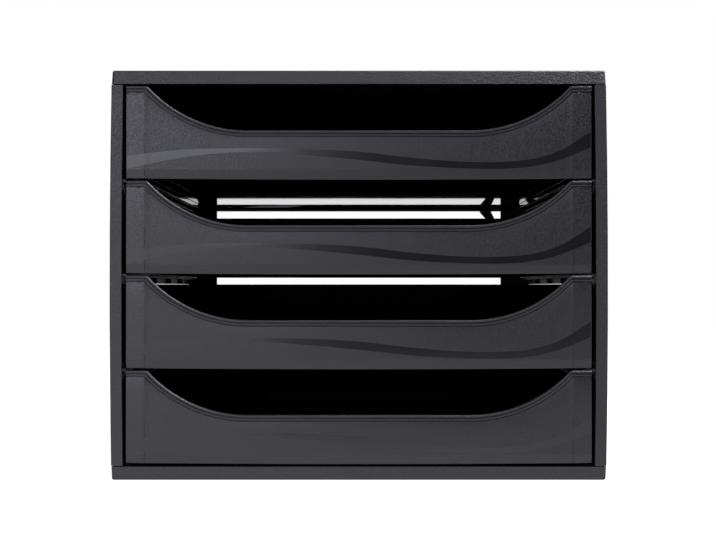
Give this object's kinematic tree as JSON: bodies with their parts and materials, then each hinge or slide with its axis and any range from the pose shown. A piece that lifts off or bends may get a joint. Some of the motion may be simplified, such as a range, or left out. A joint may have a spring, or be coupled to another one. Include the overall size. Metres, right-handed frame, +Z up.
{
  "type": "letter tray drawer set",
  "caption": "Desktop drawer set for letters and papers: open trays with swept finger cut-outs slide in a slightly bowed casing that is open at the back.",
  "frame": {"origin": "middle of the set's footprint, at the level that its rubber feet stand on", "axes": "+X to the right seen from the front, +Y to the back, +Z up; the drawers open towards -Y"},
  "size_m": [0.284, 0.348, 0.234],
  "materials": {
    "casing_plastic": "fine spark-textured black",
    "front_plastic": "fine spark texture with a smoother wave band",
    "tray_plastic": "polished black",
    "foot_rubber": "soft black"
  },
  "bodies": {
    "casing": {"top_plate": "casing_plastic", "bottom_plate": "casing_plastic", "side_panel_left": "casing_plastic", "side_panel_right": "casing_plastic", "rear_frame": "casing_plastic", "runner_frame_1": "tray_plastic", "runner_frame_2": "tray_plastic", "runner_frame_3": "tray_plastic", "foot_front_left": "foot_rubber", "foot_front_right": "foot_rubber", "foot_rear_left": "foot_rubber", "foot_rear_right": "foot_rubber"},
    "drawer_1": {"tray_1": "tray_plastic", "front_1": "front_plastic"},
    "drawer_2": {"tray_2": "tray_plastic", "front_2": "front_plastic"},
    "drawer_3": {"tray_3": "tray_plastic", "front_3": "front_plastic"},
    "drawer_4": {"tray_4": "tray_plastic", "front_4": "front_plastic"}
  },
  "joints": [
    {"name": "drawer_1_slide", "type": "slide", "parent": "casing", "child": "drawer_1", "axis": [0, -1, 0], "range_m": [0, 0.24]},
    {"name": "drawer_2_slide", "type": "slide", "parent": "casing", "child": "drawer_2", "axis": [0, -1, 0], "range_m": [0, 0.24]},
    {"name": "drawer_3_slide", "type": "slide", "parent": "casing", "child": "drawer_3", "axis": [0, -1, 0], "range_m": [0, 0.24]},
    {"name": "drawer_4_slide", "type": "slide", "parent": "casing", "child": "drawer_4", "axis": [0, -1, 0], "range_m": [0, 0.24]}
  ]
}
